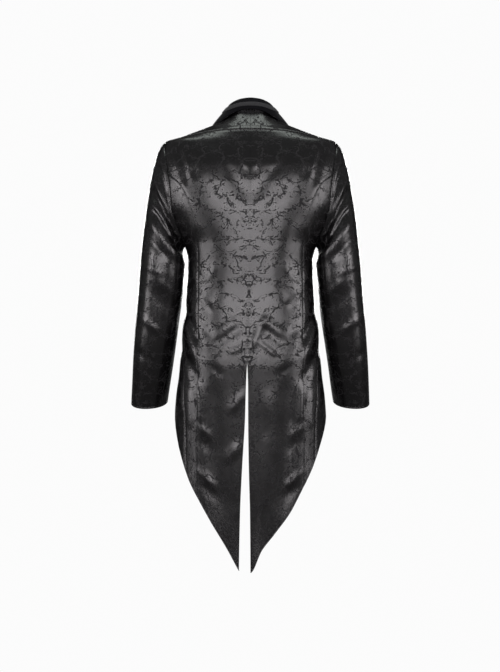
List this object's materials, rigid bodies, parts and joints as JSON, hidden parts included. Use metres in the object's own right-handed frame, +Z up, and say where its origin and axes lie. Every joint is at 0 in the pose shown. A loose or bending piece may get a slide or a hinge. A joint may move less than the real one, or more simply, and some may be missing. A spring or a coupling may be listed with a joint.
{
  "type": "tailcoat",
  "caption": "Long sleeved tailcoat, hollow as worn, with a turned down collar, a shoulder yoke, a cut away front and two pointed tails parted by a vent.",
  "frame": {"origin": "middle of the neck opening at shoulder height, where the wearer's neck and shoulders hold the coat", "axes": "+Z up along the body, +Y to the back, +X to the wearer's left"},
  "size_m": [0.597, 0.2453, 1.1476],
  "materials": {
    "satin_jacquard": "black satin with a fine cracked vein weave",
    "velvet": "black velvet with a short pile",
    "grey_band": "plain dark grey ribbed cloth",
    "button_horn": "polished black"
  },
  "bodies": {
    "root": {"back_left": "satin_jacquard", "back_right": "satin_jacquard", "side_back_left": "satin_jacquard", "side_back_right": "satin_jacquard", "yoke_left": "satin_jacquard", "yoke_right": "satin_jacquard", "front_left": "satin_jacquard", "front_right": "satin_jacquard", "lapel_left": "satin_jacquard", "lapel_right": "satin_jacquard", "upper_sleeve_left": "satin_jacquard", "upper_sleeve_right": "satin_jacquard", "under_sleeve_left": "satin_jacquard", "under_sleeve_right": "satin_jacquard", "collar": "velvet", "collar_band": "grey_band", "button_upper": "button_horn", "button_lower": "button_horn"}
  },
  "joints": []
}
